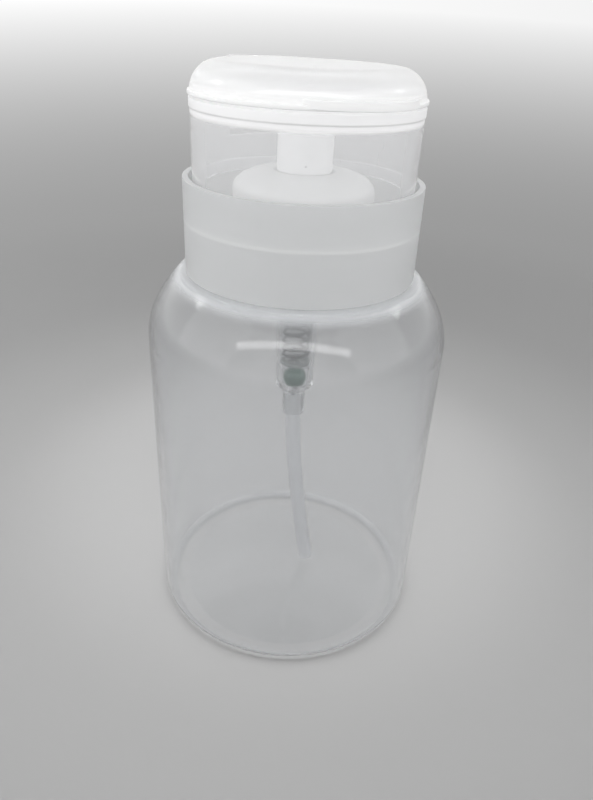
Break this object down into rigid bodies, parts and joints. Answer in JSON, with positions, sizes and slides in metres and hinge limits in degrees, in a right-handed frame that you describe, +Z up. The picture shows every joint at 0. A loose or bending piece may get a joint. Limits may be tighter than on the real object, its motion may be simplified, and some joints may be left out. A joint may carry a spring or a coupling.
{
  "type": "nail polish remover pump",
  "caption": "Clear round bottle with a screwed collar and a pump head that is pressed down to fill the dish under its flip lid.",
  "frame": {"origin": "on the bottle's axis, in the plane of its standing ring", "axes": "+Z up along the bottle's axis; the lid's thumb tab points along -Y and its hinge is at +Y; +X makes the frame right-handed"},
  "size_m": [0.064, 0.064, 0.123],
  "materials": {
    "clear_plastic": "clear, moulded, slightly hazy",
    "lid_plastic": "clear, polished",
    "milky_plastic": "milky, satin, lets light through",
    "soft_white": "soft, matt",
    "spring_steel": "drawn wire",
    "pin_steel": "ground",
    "green_glass": "polished ball",
    "clear_glass": "polished ball"
  },
  "bodies": {
    "bottle": {"bottle": "clear_plastic"},
    "pump": {"neck_gasket": "soft_white", "pump_housing": "clear_plastic", "pump_turret": "milky_plastic", "stem_guide": "soft_white", "return_spring": "spring_steel", "valve_cage": "soft_white", "dip_tube": "milky_plastic"},
    "collar": {"screw_cap": "milky_plastic", "collar_sleeve": "milky_plastic"},
    "plunger": {"piston_stem": "milky_plastic", "piston": "soft_white"},
    "head": {"head_drum": "clear_plastic", "dish": "clear_plastic", "outlet_seat": "soft_white", "nozzle_cap": "clear_plastic", "hinge_pin": "pin_steel"},
    "lid": {"lid": "lid_plastic"},
    "inlet_valve": {"inlet_ball": "green_glass"},
    "outlet_valve": {"outlet_ball": "clear_glass"}
  },
  "joints": [
    {"name": "pump_lift", "type": "slide", "parent": "bottle", "child": "pump", "axis": [0, 0, 1], "range_m": [0, 0.0048]},
    {"name": "collar_turn", "type": "hinge", "parent": "pump", "child": "collar", "pos_m": [0, 0, 0.08464], "axis": [0, 0, 1], "range_deg": [0, 540]},
    {"name": "head_press", "type": "slide", "parent": "pump", "child": "plunger", "axis": [0, 0, -1], "range_m": [0, 0.005], "stiffness_N_per_m": 500, "springref_m": -0.004, "deforming": ["return_spring"]},
    {"name": "head_turn", "type": "hinge", "parent": "plunger", "child": "head", "pos_m": [0, 0, 0.10404], "axis": [0, 0, 1], "continuous": true},
    {"name": "lid_open", "type": "hinge", "parent": "head", "child": "lid", "pos_m": [0, 0.0184, 0.11263], "axis": [-1, 0, 0], "range_deg": [0, 95]},
    {"name": "inlet_lift", "type": "slide", "parent": "pump", "child": "inlet_valve", "axis": [0, 0, 1], "range_m": [0, 0.0008]},
    {"name": "outlet_lift", "type": "slide", "parent": "head", "child": "outlet_valve", "axis": [0, 0, 1], "range_m": [0, 0.0008]}
  ],
  "couplings": [
    {"joint": "pump_lift", "follows": "collar_turn", "m_per_rad": 0.00050929}
  ]
}
